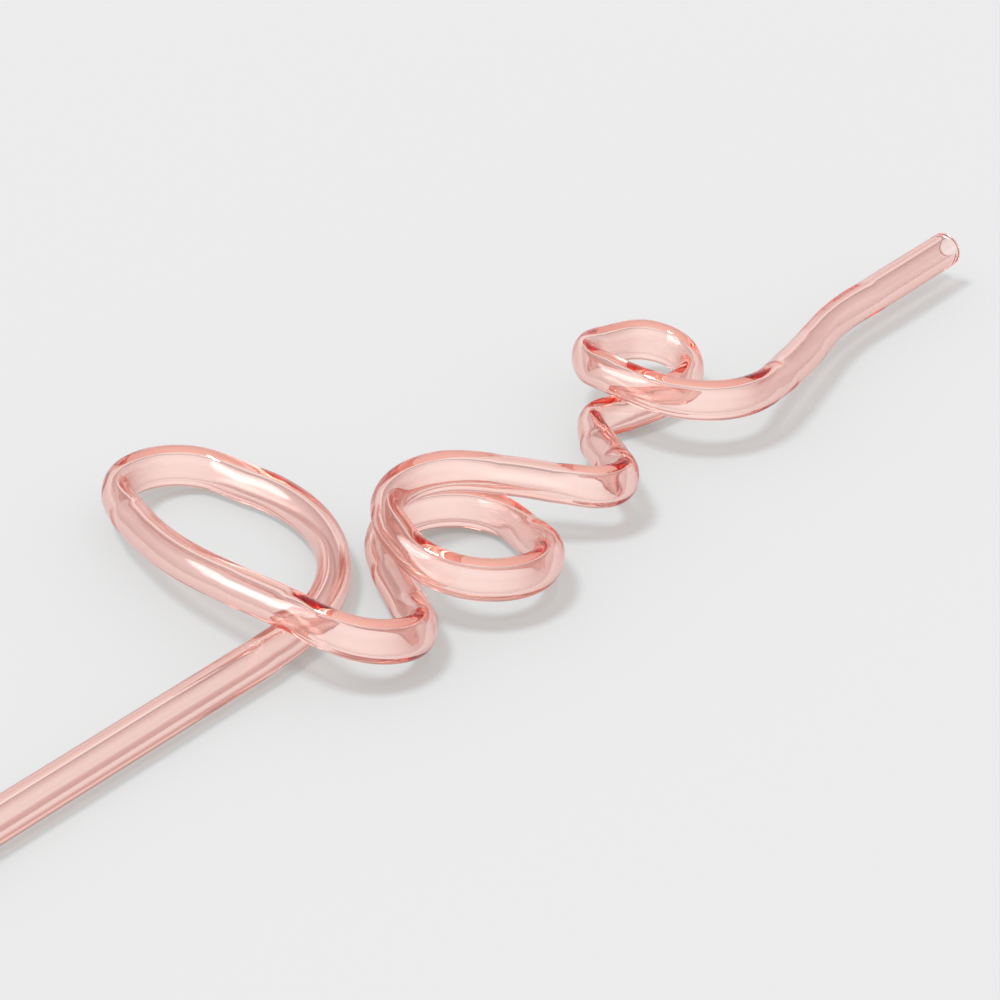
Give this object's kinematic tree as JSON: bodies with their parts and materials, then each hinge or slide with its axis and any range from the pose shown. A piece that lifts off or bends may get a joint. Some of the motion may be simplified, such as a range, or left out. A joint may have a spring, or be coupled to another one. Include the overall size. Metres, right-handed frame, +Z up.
{
  "type": "looped drinking straw",
  "caption": "Rigid clear pink drinking straw, bent flat into tall, round and small loops and a wave between a long stem and a short mouthpiece.",
  "frame": {"origin": "on the floor that the straw lies on, under the centre of its outline", "axes": "+X runs along the straw from the free end of the stem to the free end of the mouthpiece, +Y points to the side that the tall loop leans out to, +Z is up from the floor"},
  "size_m": [0.2588, 0.071, 0.014],
  "materials": {
    "tube": "clear pale pink plastic, tinted through, smooth and glossy inside and out"
  },
  "bodies": {
    "root": {"straw": "tube"}
  },
  "joints": []
}
